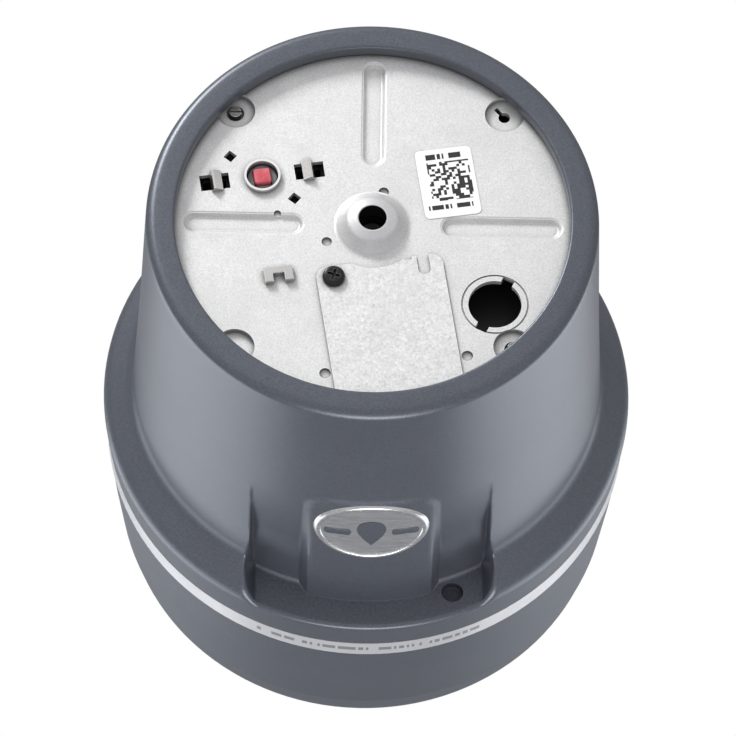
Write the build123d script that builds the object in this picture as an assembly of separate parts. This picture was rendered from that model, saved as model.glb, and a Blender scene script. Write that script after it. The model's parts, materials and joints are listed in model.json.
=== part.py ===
from build123d import *
import os
from math import cos, radians, sin

# Kitchen garbage disposal, upright as it hangs under a sink. Millimetres.
# The origin is the centre of the bottom rim's face, +Z is up and the badge faces -Y.

# ---------------------------------------------------------------- driving dimensions
TOTAL_HEIGHT = 308.0
GAP = 0.3                       # clearance between pieces that turn or slide past each other

# Trim shells
WALL = 3.0                      # trim shell wall
RIM_INNER_R = 82.5              # opening in the bottom rim
LIP_TOP_Z = 5.8                 # top of the rim's inward lip
LOWER_TOP_Z = 171.7             # top edge of the lower shell
BAND_TOP_Z = 181.7              # top edge of the pale trim band
BAND_R = 112.9
SPIGOT_R = 109.4                # lower shell's spigot, inside the band and the upper shell
SPIGOT_INNER_R = 106.5
SPIGOT_TOP_Z = 186.0
UPPER_BOTTOM_Z = 182.3
UPPER_TOP_Z = 264.0
NECK_HOLE_R = 56.0              # hole in the top of the upper shell

# Front pocket, with its pad and badge
POCKET_HALF_WIDTH = 50.5
POCKET_START_Z = 76.0
POCKET_R = 95.6                 # back wall of the pocket at the ledge
LEDGE_Z = 155.0
LEDGE_HOLE = (-35.8, -96.6)
LEDGE_HOLE_R = 4.7
PAD_WIDTH = 56.0
PAD_START_Z = 69.0
BADGE_Z = 93.4
BADGE_WIDTH = 49.0
BADGE_HEIGHT = 43.5
BADGE_BACK_R = 97.6
BADGE_FACE_R = 100.4

# Lower end frame (the stamped bottom plate)
PLATE_Z = 7.0                   # outer face
SHEET = 2.5
PLATE_INNER_Z = PLATE_Z + SHEET
PLATE_R = 89.2
BOSS_TOP_Z = 12.0                # back face of the pressed ribs and bolt recesses
SKIRT_TOP_Z = 22.0
HUB_R = 15.4
HUB_TIP_Z = 0.6
HUB_HOLE_R = 5.8
RIB_TURN = 1.4                  # the ribs' angle about Z
RIB_START = 33.6
RIB_END = 74.4
RIB_R = 4.8
RIB_DEPTH = 1.9
SERVICE_TURN = -7.8             # the button, slots, label and cover are turned by this about Z
BUTTON = (42.2, 29.2)
BUTTON_SIDE = 7.0
COLLAR_R = 7.6
COLLAR_HOLE_R = 6.7
COLLAR_HEIGHT = 2.2
SLOT_OFFSET = 20.0
SLOT_SIZE = (12.4, 7.5)
PEG_HOLE_OFFSET = 11.9
PEG_HOLE_SIDE = 4.1
KNOCKOUT = (-44.8, -44.4)
KNOCKOUT_R = 11.1
KNOCKOUT_TURN = 125.0
CLIP = (42.2, -18.5)
CLIP_HEIGHT = 2.6
COVER_LEFT = 26.8
COVER_RIGHT = -26.4
COVER_TOP_Y = -17.6
COVER_SHEET = 1.0
COVER_SCREW = (19.7, -23.0)
LABEL_CENTRE = (-34.4, 16.0)
LABEL_SIZE = (23.8, 33.0)
BOLT_SPOTS = ((56.9, 55.6), (-56.3, 53.4), (-57.6, -58.0), (57.6, -57.6))
KEY_TURN = 50.0
BOLT_R = 2.5
BOLT_PIT_R = 3.7
RECESS_R = 8.3

# Motor
CAN_INNER_R = 85.2
CAN_OUTER_R = 87.2
CAN_TOP_Z = 108.0
STACK_BOTTOM_Z = 46.0
STACK_TOP_Z = 82.0
STATOR_BORE_R = 38.6
ROTOR_R = 38.0
SLOT_COUNT = 24
SHAFT_R = 6.0
SHAFT_BOTTOM_Z = 15.0
BEARING_CLEARANCE = 0.04
BEARING_R = 11.0
INNER_LIMIT_R = 75.0            # the protector stays inside this, clear of the bolts
WIRING_LIMIT_R = 74.6           # inside of the wiring box, clear of a fitting in the knockout

# Drain chamber and grinding parts
CHAMBER_FLOOR_Z = 118.0
CHAMBER_INNER_R = 80.0
CHAMBER_OUTER_R = 84.0
CHAMBER_TOP_Z = 176.0
FLANGE_R = 92.0
OUTLET_Z = 140.0
OUTLET_R = 17.5
OUTLET_FACE_Y = 114.2
OUTLET_SPACING = 62.0
OUTLET_THREAD_R = 3.1
DISC_Z = 171.0                  # underside of the shredder plate
DISC_THICKNESS = 3.0
DISC_R = 76.8
RING_INNER_R = 77.6
RING_BOTTOM_Z = 160.0
RING_TOP_Z = 196.0
LUG_PIVOT_R = 52.0
LUG_PIN_R = 4.0

# Grind container, with its neck
CONTAINER_R = 82.0
CONTAINER_WALL = 2.0
GASKET_TOP_Z = 178.0
NECK_R = 52.0
NECK_LIP_Z = 271.0
NECK_LIP_R = 57.0
INLET_Z = 224.0
INLET_TURN = 38.0               # from +Y towards -X
INLET_R = 11.0
INLET_BORE_R = 8.8
INLET_END_R = 128.0
INLET_SHOULDER_R = 113.0        # the hose is pushed up to this shoulder

# Sink mount
SLEEVE_R = 43.4
SLEEVE_BORE_R = 41.9
SINK_RIM_R = 57.0
SINK_RIM_Z = 304.0              # underside of the sink flange's rim
HOOK_COUNT = 3
HOOK_WIDTH_DEG = 20.0
HOOK_TURN = 32.0
MOUNT_SCREW_R = 67.5            # circle of the three mounting screws


# ---------------------------------------------------------------- helpers
def disc(radius, bottom, top):
    """A round plug about the vertical axis."""
    return Pos(0, 0, bottom) * extrude(Circle(radius), top - bottom)


def ring(inner, outer, bottom, top):
    """A tube or washer about the vertical axis."""
    return Pos(0, 0, bottom) * extrude(Circle(outer) - Circle(inner), top - bottom)


def block(centre, size, bottom, top):
    """An upright block with its centre and its two plan sizes."""
    return Pos(centre[0], centre[1], bottom) * extrude(Rectangle(*size), top - bottom)


def pillar(centre, radius, bottom, top):
    """An upright round pillar."""
    return Pos(centre[0], centre[1], bottom) * extrude(Circle(radius), top - bottom)


def turned(line):
    """A solid turned about the vertical axis from a closed outline in (radius, height)."""
    return revolve(make_face(Plane.XZ * line), Axis.Z)


def polygon(*points):
    return turned(Polyline(*points, close=True))


def rounded(points, radii):
    """A turned solid from corner points, each with its own rounding radius."""
    return turned(FilletPolyline(*points, radius=radii, close=True))


def service(shape):
    """Turns a feature from the service group's own axes into the object's."""
    return Rot(0, 0, SERVICE_TURN) * shape


def on_circle(radius, angle):
    return (radius * cos(radians(angle)), radius * sin(radians(angle)))


def sector(inner, outer, bottom, top, centre_deg, width_deg):
    """Part of a ring, centred on an angle from +X."""
    reach = 2.0 * outer
    half = radians(width_deg / 2.0)
    wedge = Polyline((0, 0), (reach, -reach * sin(half) / cos(half)),
                     (reach, reach * sin(half) / cos(half)), close=True)
    cutter = Pos(0, 0, bottom) * extrude(make_face(wedge), top - bottom)
    return ring(inner, outer, bottom, top) & (Rot(0, 0, centre_deg) * cutter)


def write(name, shape):
    export_step(shape, f"parts/{name}.step")


# ---------------------------------------------------------------- trim shells
def lower_outer():
    """Outside of the lower shell, as a filled solid."""
    points = [(0, 0), (94.4, 0), (97.7, 75), (101.2, 139.5), (114.6, 150.5),
              (BAND_R, LOWER_TOP_Z), (SPIGOT_R, LOWER_TOP_Z), (SPIGOT_R, SPIGOT_TOP_Z),
              (0, SPIGOT_TOP_Z)]
    return rounded(points, [0, 4.0, 0, 11.0, 9.0, 0.8, 0, 0, 0])


def lower_inner():
    """The space inside the lower shell, above the rim's lip."""
    points = [(0, LIP_TOP_Z), (91.2, LIP_TOP_Z), (94.7, 75), (98.2, 141), (111.4, 152),
              (110.4, 160), (SPIGOT_INNER_R, 166), (SPIGOT_INNER_R, SPIGOT_TOP_Z),
              (0, SPIGOT_TOP_Z)]
    return rounded(points, [0, 0, 0, 12.0, 0, 0, 0, 0, 0])


def pocket(grow):
    """The front pocket's space, grown on every side by the wall that stands behind it."""
    half = POCKET_HALF_WIDTH + grow
    low = POCKET_START_Z - 12.0
    high = LEDGE_Z + grow
    front = Plane.XZ * (Pos(0, (low + high) / 2) * Rectangle(2 * half, high - low))
    space = extrude(front, 140.0)
    space -= polygon((0, 0), (98.2 - grow, 0), (98.0 - grow, POCKET_START_Z),
                     (POCKET_R - grow, 112), (POCKET_R - grow, 200), (0, 200))
    return space


def badge_pad():
    """The raised pad that the badge sits on, down to the ledge."""
    height = LEDGE_Z + 1.0 - PAD_START_Z
    outline = RectangleRounded(PAD_WIDTH + 9.0, height + 20.0, 12.0)
    front = Plane.XZ.offset(88.0) * (Pos(0, PAD_START_Z - 2.0 + height / 2 + 10.0) * outline)
    pad = extrude(front, 16.0, taper=26)
    pad &= polygon((0, 60), (98.3, 60), (98.3, PAD_START_Z), (101.0, 150), (101.0, 160), (0, 160))
    return pad & disc(120, 60, LEDGE_Z)


def lower_trim_shell():
    hole = pillar(LEDGE_HOLE, LEDGE_HOLE_R, LEDGE_Z - 1, LEDGE_Z + 8)
    hole_wall = pillar(LEDGE_HOLE, LEDGE_HOLE_R + 2.2, LEDGE_Z, LEDGE_Z + 10)
    outside = lower_outer() - pocket(0)
    outside += badge_pad()
    space = lower_inner() - pocket(WALL)
    space -= hole_wall
    shell = outside - space - hole
    shell -= disc(RIM_INNER_R, -1, LIP_TOP_Z + 1)
    port = Plane.XZ * (Pos(0, OUTLET_Z) * RectangleRounded(92, 48, 12))
    shell -= extrude(port, -140)
    return shell


def upper_trim_shell():
    outer = [(NECK_HOLE_R, UPPER_BOTTOM_Z), (112.6, UPPER_BOTTOM_Z), (110.9, 205), (107.9, 238),
             (104.6, 255), (88, UPPER_TOP_Z), (NECK_HOLE_R, UPPER_TOP_Z)]
    inner = [(NECK_HOLE_R - 9, UPPER_BOTTOM_Z - 1), (110.1, UPPER_BOTTOM_Z - 1), (107.9, 205),
             (104.9, 238), (101.9, 253), (87, UPPER_TOP_Z - WALL),
             (NECK_HOLE_R - 9, UPPER_TOP_Z - WALL)]
    shell = rounded(outer, [0, 0.8, 0, 0, 14, 40, 0])
    shell -= rounded(inner, [0, 0, 0, 0, 12, 40, 0])
    reach = Pos(0, 0, INLET_Z) * (Rot(0, 0, INLET_TURN) * (Rot(-90, 0, 0) * Cylinder(INLET_R + 1.5, 300)))
    keep = Rot(0, 0, INLET_TURN) * (Pos(0, 100, INLET_Z) * Box(60, 160, 60))
    return shell - (reach & keep)


def trim_band():
    return ring(SPIGOT_R + 0.1, BAND_R, LOWER_TOP_Z + 0.1, BAND_TOP_Z)


def oval_column(width, height):
    """An upright oval, pushed through the front wall."""
    front = Plane.XZ.offset(90.0) * (Pos(0, BADGE_Z) * Ellipse(width / 2, height / 2))
    return extrude(front, 20.0)


def badge():
    """A dished oval plate that follows the pad's curve, with a raised bevelled edge."""
    plate = oval_column(BADGE_WIDTH, BADGE_HEIGHT) & ring(BADGE_BACK_R, BADGE_FACE_R, 60, 130)
    dish = oval_column(BADGE_WIDTH - 4.0, BADGE_HEIGHT - 4.0)
    return plate - (dish & ring(BADGE_FACE_R - 0.8, BADGE_FACE_R + 5, 60, 130))


def lower_shell_with_badge_seat():
    """The lower shell, less the badge's shallow seat."""
    seat = oval_column(BADGE_WIDTH, BADGE_HEIGHT)
    return lower_trim_shell() - (seat & ring(BADGE_BACK_R, BADGE_FACE_R + 5, 60, 130))


# ---------------------------------------------------------------- bottom plate
def rib_slot(radius, bottom, top, taper=0):
    length = RIB_END - RIB_START
    slot = Pos((RIB_START + RIB_END) / 2, 0) * SlotCenterToCenter(length, 2 * radius)
    return Pos(0, 0, bottom) * extrude(slot, top - bottom, taper=taper)


def rib_groove():
    """A pressed groove: sloping sides, a rounded bottom and softly rounded mouth."""
    groove = rib_slot(RIB_R, PLATE_Z, PLATE_Z + RIB_DEPTH, 38)
    groove = fillet(groove.faces().sort_by(Axis.Z)[-1].edges(), 1.0)
    mouth = rib_slot(RIB_R + 0.5, PLATE_Z, PLATE_Z + 0.3, 60)
    return groove + mouth


def cover_outline(grow):
    """Plan outline of the terminal cover, cut back round the hub and by the rim."""
    width = COVER_LEFT - COVER_RIGHT + 2 * grow
    middle = (COVER_LEFT + COVER_RIGHT) / 2
    height = 76.0
    sheet = Pos(middle, COVER_TOP_Y - height / 2 + grow) * RectangleRounded(width, height, 5.0)
    return (sheet - Circle(21.0)) & Circle(RIM_INNER_R + 2.0)


def lower_end_frame():
    """Stamped plate with a skirt, a bearing hub, ribs and the service openings."""
    frame = disc(PLATE_R, PLATE_Z, PLATE_INNER_Z)
    frame += ring(CAN_OUTER_R, PLATE_R, PLATE_INNER_Z, SKIRT_TOP_Z)
    frame += rounded([(0, HUB_TIP_Z + 0.5), (6.4, HUB_TIP_Z), (10.4, HUB_TIP_Z + 1.2), (HUB_R, PLATE_Z),
                      (24, PLATE_Z), (24, PLATE_INNER_Z), (13.5, PLATE_INNER_Z + 2), (13.5, 24), (0, 24)],
                     [0, 1.0, 3.0, 2.0, 0, 0, 0, 0, 0])
    for quarter in (0, 1, 2):
        frame += Rot(0, 0, RIB_TURN + 90 * quarter) * rib_slot(RIB_R + 2.2, PLATE_INNER_Z, BOSS_TOP_Z)
    for spot in BOLT_SPOTS:
        boss = pillar(spot, RECESS_R + 1.2, PLATE_Z, BOSS_TOP_Z) & disc(CAN_INNER_R - 0.1, PLATE_Z, BOSS_TOP_Z)
        frame += boss - service(pillar(KNOCKOUT, KNOCKOUT_R + 0.6, 0, 13))
    frame += service(pillar(BUTTON, COLLAR_R, PLATE_Z - COLLAR_HEIGHT, PLATE_INNER_Z))

    for quarter in (0, 1, 2):
        frame -= Rot(0, 0, RIB_TURN + 90 * quarter) * rib_groove()
    for index, spot in enumerate(BOLT_SPOTS):
        recess = pillar(spot, RECESS_R, PLATE_Z, PLATE_INNER_Z) & disc(CAN_INNER_R, 0, 12)
        frame -= recess - service(pillar(KNOCKOUT, KNOCKOUT_R + 1.8, 0, 13))
        frame -= pillar(spot, BOLT_R, 0, BOSS_TOP_Z + 1)
        if index % 2 == 0:
            frame -= pillar(spot, BOLT_PIT_R, 0, BOSS_TOP_Z - 0.7)
        else:
            key = Rot(0, 0, KEY_TURN) * (Pos(3.4, 0, 0) * Box(4.6, 1.7, 30))
            frame -= Pos(spot[0], spot[1], 0) * key
    frame -= disc(HUB_HOLE_R, 0, 9.2)
    frame -= disc(BEARING_R, 9, 25)
    frame -= service(pillar(BUTTON, COLLAR_HOLE_R, 0, 12))
    for side in (-1, 1):
        slot = (BUTTON[0] + side * SLOT_OFFSET, BUTTON[1] + 0.5)
        peg = (BUTTON[0] + side * PEG_HOLE_OFFSET, BUTTON[1] + side * PEG_HOLE_OFFSET)
        frame -= service(block(slot, SLOT_SIZE, 0, 11))
        square = Rot(0, 0, 48) * extrude(Rectangle(PEG_HOLE_SIDE, PEG_HOLE_SIDE), 11)
        frame -= service(Pos(peg[0], peg[1], 0) * square)
        frame -= service(pillar((side * 29.7, -66.9), 2.4, PLATE_Z, PLATE_Z + 1.2))
    for spot, radius in (((38.4, 11.1), 1.5), ((20.0, -5.2), 2.2), ((-7.1, 15.2), 2.2)):
        frame -= service(pillar(spot, radius, PLATE_Z, PLATE_Z + 1.2))
    frame -= service(block((0, -51), (38, 38), 0, 11))
    frame -= service(pillar(COVER_SCREW, 1.6, 0, 11))
    frame -= service(knockout_space())
    groove = pillar(KNOCKOUT, 14.1, PLATE_Z, PLATE_Z + 0.5) - pillar(KNOCKOUT, 13.3, 0, 12)
    return frame - service(groove)


def knockout_space():
    notches = Rot(0, 0, KNOCKOUT_TURN) * Box(2 * KNOCKOUT_R + 5.0, 5.2, 30)
    return pillar(KNOCKOUT, KNOCKOUT_R, 0, 13) + Pos(KNOCKOUT[0], KNOCKOUT[1], 0) * notches


def terminal_cover():
    sheet = cover_outline(0)
    notch = Pos(-18.3, COVER_TOP_Y - 3.0) * SlotCenterToCenter(7.0, 5.2, rotation=90)
    tab = Pos(-12.2, COVER_TOP_Y - 0.6) * Rectangle(3.2, 1.4)
    hole = Pos(*COVER_SCREW) * Circle(2.3)
    plate = extrude(sheet - notch - tab - hole, COVER_SHEET)
    return service(Pos(0, 0, PLATE_Z - COVER_SHEET) * plate)


def cross_recess(depth, bottom):
    """The cross-shaped driver recess of a screw head, cut upwards from its face."""
    blade = Box(5.4, 1.3, depth) + Box(1.3, 5.4, depth)
    return Pos(0, 0, bottom + depth / 2) * blade


def terminal_cover_screw():
    top = PLATE_Z - COVER_SHEET
    face = top - 2.6
    head = rounded([(0, face), (4.7, face), (4.7, top), (0, top)], [0, 1.6, 0.3, 0])
    screw = head + disc(1.6, top, PLATE_INNER_Z + 3)
    screw -= Rot(0, 0, 25) * cross_recess(1.5, face)
    return service(Pos(COVER_SCREW[0], COVER_SCREW[1], 0) * screw)


def wire_clip():
    """A small raised clip on the plate: a bar with two feet."""
    top = PLATE_Z - CLIP_HEIGHT
    bar = block((CLIP[0], CLIP[1] + 1.6), (12.2, 3.0), top, PLATE_Z)
    for side in (-1, 1):
        bar += block((CLIP[0] + side * 4.2, CLIP[1] - 1.4), (3.8, 4.4), top, PLATE_Z)
    bar = fillet(bar.faces().sort_by(Axis.Z)[0].edges(), 0.35)
    return service(bar)


def rating_label():
    sheet = Pos(*LABEL_CENTRE) * RectangleRounded(*LABEL_SIZE, 2.2)
    return service(Pos(0, 0, PLATE_Z - 0.25) * extrude(sheet, 0.25))


def hexagon(across_flats, bottom, top):
    return Pos(0, 0, bottom) * extrude(RegularPolygon(across_flats / 2, 6, major_radius=False), top - bottom)


def through_bolts():
    """Two long slotted bolts, threaded through the plate, which clamp it to the upper end bell."""
    end = PLATE_Z + 0.8
    bolt = disc(BOLT_R, end, CAN_TOP_Z + 8) - block((0, 0), (6.0, 1.2), end - 1, end + 1.4)
    return Compound([Pos(x, y, 0) * bolt for x, y in BOLT_SPOTS[::2]])


# ---------------------------------------------------------------- controls and wiring
def reset_button():
    side = BUTTON_SIDE
    cap = Pos(0, 0, 5.3) * extrude(RectangleRounded(side, side, 1.2), 12.7)
    cap = chamfer(cap.faces().sort_by(Axis.Z)[0].edges(), 0.5)
    return service(Pos(BUTTON[0], BUTTON[1], 0) * cap)


def button_spring():
    coil = Helix(pitch=1.5, height=4.5, radius=2.6)
    wire = sweep(Plane(origin=coil @ 0, z_dir=coil % 0) * Circle(0.4), path=coil)
    return service(Pos(BUTTON[0], BUTTON[1], 18.9) * wire)


def overload_protector():
    """Moulded housing behind the plate, with the button's well and pockets behind the slots."""
    low, high = 12.3, 27.0
    body = block((BUTTON[0] - 1, BUTTON[1] - 1), (60, 34), low, high)
    body += pillar(BUTTON, 9.4, PLATE_INNER_Z, low)
    body &= disc(INNER_LIMIT_R, PLATE_INNER_Z, high)
    body -= block(BUTTON, (BUTTON_SIDE + 0.6, BUTTON_SIDE + 0.6), 0, 24.2)
    for side in (-1, 1):
        centre = (BUTTON[0] + side * SLOT_OFFSET, BUTTON[1] + 0.5)
        body -= block(centre, (10.0, 6.0), 0, 22.0)
    return service(body)


def protector_bracket():
    """Two spring tabs that come through the plate's slots and grip its face."""
    tabs = []
    for side in (-1, 1):
        x = BUTTON[0] + side * SLOT_OFFSET - side * 0.6
        y = BUTTON[1] + 0.5
        section = Polyline((2.4, PLATE_Z), (1.5, PLATE_Z - 2.8), (0.7, PLATE_Z - 2.8), (-2.4, PLATE_Z - 1.0),
                           (-2.4, PLATE_Z), close=True)
        ridge = extrude(make_face(Plane.XZ * section), 4.6, both=True)
        if side < 0:
            ridge = mirror(ridge, Plane.YZ)
        tab = Pos(x, y, 0) * ridge + block((x, y), (1.4, 5.6), PLATE_Z, 21.5)
        tabs.append(service(tab))
    return Compound(tabs)


def button_guide():
    """Pale moulded bush round the button, just behind the collar."""
    bush = pillar(BUTTON, COLLAR_HOLE_R - 0.7, PLATE_Z + 0.6, PLATE_INNER_Z)
    return service(bush - block(BUTTON, (BUTTON_SIDE + 0.6, BUTTON_SIDE + 0.6), 0, 24.2))


def wiring_region(grow):
    outline = Pos(-18.5, -51.5) * Rectangle(87.0 + 2 * grow, 49.0 + 2 * grow)
    return (outline & Circle(WIRING_LIMIT_R + grow)) - Circle(26.0 - grow)


def wiring_box():
    """Black pan behind the terminal cover and the conduit knockout."""
    pan = Pos(0, 0, PLATE_INNER_Z) * extrude(wiring_region(1.5), 18.0)
    pan -= Pos(0, 0, PLATE_INNER_Z) * extrude(wiring_region(0), 16.5)
    for spot in ((6, -38), (-8, -38), (-30, -62)):
        pan -= pillar(spot, 1.8, 20, 30)
    recess = pillar(BOLT_SPOTS[2], RECESS_R + 1.4, 0, 12.3)
    return service(pan) - recess


def ground_screw():
    screw = hexagon(7.0, 23.0, 26.0) + disc(1.8, 26.0, 29.0) - block((0, 0), (7, 1.2), 22, 24)
    return service(Pos(-30, -62, 0) * screw)


def lead_wires():
    wires = []
    for x in (6, -8):
        path = FilletPolyline((x, -38, 29), (x, -38, 16), (x - 4, -66, 16), radius=8)
        wires.append(service(sweep(Plane(origin=path @ 0, z_dir=path % 0) * Circle(1.6), path=path)))
    return Compound(wires)


def start_relay():
    body = block((-36, 20), (30, 24), 12.5, 25.0) + block((-36, 20), (8, 28), 12.5, 17.0)
    return service(body)


# ---------------------------------------------------------------- motor
def motor_shell():
    return ring(CAN_INNER_R, CAN_OUTER_R, PLATE_INNER_Z, CAN_TOP_Z)


def stator_slots(clearance):
    slot = Pos(51, 0, STACK_BOTTOM_Z) * extrude(Rectangle(18 - clearance, 4.6 - clearance),
                                                STACK_TOP_Z - STACK_BOTTOM_Z)
    mouth = Pos(41, 0, STACK_BOTTOM_Z) * extrude(Rectangle(6, 1.8), STACK_TOP_Z - STACK_BOTTOM_Z)
    tool = slot if clearance else slot + mouth
    return [Rot(0, 0, 360 / SLOT_COUNT * k) * tool for k in range(SLOT_COUNT)]


def stator_core():
    core = ring(STATOR_BORE_R, CAN_INNER_R, STACK_BOTTOM_Z, STACK_TOP_Z)
    core -= stator_slots(0)
    for spot in BOLT_SPOTS[::2]:
        core -= pillar(spot, BOLT_R + 0.4, STACK_BOTTOM_Z, STACK_TOP_Z)
    return core


def stator_windings():
    """End turns above and below the core, joined by the coil sides in the slots."""
    end = RectangleRounded(18, 14, 5)
    lower = revolve(Plane.XZ * (Pos(52, STACK_BOTTOM_Z - 7) * end), Axis.Z)
    upper = revolve(Plane.XZ * (Pos(52, STACK_TOP_Z + 7) * end), Axis.Z)
    return lower + upper + stator_slots(0.4)


def rotor_bars():
    bar = Pos(33.5, 0, STACK_BOTTOM_Z) * extrude(Circle(2.0), STACK_TOP_Z - STACK_BOTTOM_Z)
    return [Rot(0, 0, 15 * k) * bar for k in range(24)]


def rotor_core():
    return ring(SHAFT_R, ROTOR_R, STACK_BOTTOM_Z, STACK_TOP_Z) - rotor_bars()


def rotor_cage():
    """Cast end rings and bars."""
    cage = ring(26, 37, STACK_BOTTOM_Z - 8, STACK_BOTTOM_Z)
    cage += ring(26, 37, STACK_TOP_Z, STACK_TOP_Z + 8)
    return cage + rotor_bars()


def motor_shaft():
    """Shaft with a hex socket in its lower end and a threaded nose on top."""
    shaft = disc(SHAFT_R, SHAFT_BOTTOM_Z + 2, DISC_Z + DISC_THICKNESS)
    shaft += disc(HUB_HOLE_R - 0.3, SHAFT_BOTTOM_Z, SHAFT_BOTTOM_Z + 2)
    shaft += disc(5.0, DISC_Z + DISC_THICKNESS, DISC_Z + 15)
    return shaft - hexagon(6.4, SHAFT_BOTTOM_Z, SHAFT_BOTTOM_Z + 10)


def bearing(bottom, top):
    return ring(SHAFT_R + BEARING_CLEARANCE, BEARING_R, bottom, top)


def shaft_seal():
    bore = SHAFT_R + BEARING_CLEARANCE
    return rounded([(bore, 112.2), (12, 112.2), (12, CHAMBER_FLOOR_Z), (9, 120), (bore, 120)],
                   [0, 0.6, 0.6, 0.8, 0])


def slinger():
    return polygon((SHAFT_R, 120.5), (16, 120.5), (19, 118.9), (19, 120.2), (16.5, 122), (SHAFT_R, 122))


# ---------------------------------------------------------------- drain chamber
def upper_end_bell():
    """Cast floor of the drain chamber, with the upper bearing's hub."""
    body = disc(CAN_OUTER_R, CAN_TOP_Z, CHAMBER_FLOOR_Z) + disc(14, 95, CAN_TOP_Z)
    body -= disc(BEARING_R, 94, 112.2)
    body -= disc(12, 112.2, CHAMBER_FLOOR_Z + 1)
    for spot in BOLT_SPOTS[::2]:
        body -= pillar(spot, BOLT_R, CAN_TOP_Z - 1, CAN_TOP_Z + 8)
    return body


def drain_chamber():
    """Cast chamber wall with a top flange and the outlet port at the rear."""
    body = ring(CHAMBER_INNER_R, CHAMBER_OUTER_R, CHAMBER_FLOOR_Z, CHAMBER_TOP_Z)
    body += ring(CHAMBER_INNER_R, FLANGE_R, CHAMBER_TOP_Z - 5, CHAMBER_TOP_Z)
    body += Pos(0, 0, OUTLET_Z) * (Rot(-90, 0, 0) * Pos(0, 0, 94) * Cylinder(OUTLET_R + 3.5, 34))
    flange = Plane.XZ.offset(-OUTLET_FACE_Y) * (Pos(0, OUTLET_Z) * RectangleRounded(84, 44, 14))
    body += extrude(flange, 9)
    body -= disc(CHAMBER_INNER_R, CHAMBER_FLOOR_Z, CHAMBER_TOP_Z + 1)
    body += ring(RING_INNER_R - 0.6, CHAMBER_INNER_R, RING_BOTTOM_Z - 2, RING_BOTTOM_Z)
    body -= Pos(0, 0, OUTLET_Z) * (Rot(-90, 0, 0) * Pos(0, 0, 100) * Cylinder(OUTLET_R, 60))
    for side in (-1, 1):
        thread = Pos(side * OUTLET_SPACING / 2, 0, OUTLET_Z) * (Rot(-90, 0, 0) * Cylinder(OUTLET_THREAD_R, 300))
        body -= thread & (Pos(side * OUTLET_SPACING / 2, 114, OUTLET_Z) * Box(20, 20, 20))
    for x, y in body_screw_spots():
        body -= pillar((x, y), 2.0, CHAMBER_TOP_Z - 6, CHAMBER_TOP_Z + 1)
    return body


def body_screw_spots():
    return [on_circle(88.0, 15 + 60 * k) for k in range(6)]


def body_gasket():
    gasket = ring(CHAMBER_INNER_R, FLANGE_R, CHAMBER_TOP_Z, GASKET_TOP_Z)
    for spot in body_screw_spots():
        gasket -= pillar(spot, 2.2, CHAMBER_TOP_Z - 1, GASKET_TOP_Z + 1)
    return gasket


def body_screws():
    screws = []
    for x, y in body_screw_spots():
        head = hexagon(6.4, GASKET_TOP_Z + CONTAINER_WALL, GASKET_TOP_Z + CONTAINER_WALL + 3)
        screws.append(Pos(x, y, 0) * (head + disc(2.0, CHAMBER_TOP_Z - 5, GASKET_TOP_Z + CONTAINER_WALL)))
    return Compound(screws)


def container_outside(shrink):
    """The container's outer form, or its inner form when shrunk by the wall."""
    r = CONTAINER_R - shrink
    neck = NECK_R - shrink
    points = [(0, GASKET_TOP_Z), (r, GASKET_TOP_Z), (r, 240 - shrink), (neck, 262 - shrink),
              (neck, NECK_LIP_Z + 2), (0, NECK_LIP_Z + 2)]
    return rounded(points, [0, 0, 22 - shrink, 6 + shrink, 0, 0])


def inlet_tube(radius, start, end):
    tube = Pos(0, (start + end) / 2, INLET_Z) * (Rot(-90, 0, 0) * Cylinder(radius, end - start))
    return Rot(0, 0, INLET_TURN) * tube


def grind_container():
    """Stainless grinding chamber: bottom flange, round wall, domed top, neck and inlet tube."""
    body = container_outside(0)
    body += ring(CONTAINER_R - 1, FLANGE_R, GASKET_TOP_Z, GASKET_TOP_Z + CONTAINER_WALL)
    body += ring(NECK_R - 1, NECK_LIP_R, NECK_LIP_Z, NECK_LIP_Z + 2)
    body += inlet_tube(INLET_R, 78, INLET_END_R)
    body += inlet_tube(INLET_R + 1.4, INLET_SHOULDER_R, INLET_SHOULDER_R + 2)
    body -= container_outside(CONTAINER_WALL)
    body -= disc(NECK_R - CONTAINER_WALL, NECK_LIP_Z, NECK_LIP_Z + 3)
    body -= inlet_tube(INLET_BORE_R, 75, INLET_END_R + 1)
    for spot in body_screw_spots():
        body -= pillar(spot, 2.2, GASKET_TOP_Z - 1, GASKET_TOP_Z + 4)
    return body


def inlet_plug():
    return inlet_tube(INLET_BORE_R, 84, 87)


def grind_ring():
    """Stationary ring with breaker notches round its lower edge and teeth along its top."""
    band = ring(RING_INNER_R, CHAMBER_INNER_R, RING_BOTTOM_Z, RING_TOP_Z)
    count = 36
    for k in range(count):
        turn = Rot(0, 0, 360 / count * k)
        band -= turn * (Pos(RING_INNER_R + 1.2, 0, 168.5) * Box(5.0, 4.2, 9.0))
        band -= turn * (Pos(RING_INNER_R + 1.2, 0, RING_TOP_Z) * Box(5.0, 2.6, 5.0))
    return band


# ---------------------------------------------------------------- shredder
def lug_spot(half):
    return on_circle(LUG_PIVOT_R, 20 + 180 * half)


def shredder_plate():
    """Turning disc with a centre boss, drain holes and undercut rim notches."""
    top = DISC_Z + DISC_THICKNESS
    plate = disc(DISC_R, DISC_Z, top) + disc(13, DISC_Z - 4, DISC_Z)
    plate -= disc(SHAFT_R, DISC_Z - 5, top + 1)
    for k in range(12):
        turn = Rot(0, 0, 30 * k)
        plate -= turn * (Pos(DISC_R, 0, DISC_Z) * Box(5.0, 3.4, 12.0))
        plate -= turn * pillar((36, 0), 2.6, DISC_Z - 1, top + 1)
    for half in (0, 1):
        plate -= pillar(lug_spot(half), LUG_PIN_R, DISC_Z - 1, top + 1)
    return plate


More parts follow.
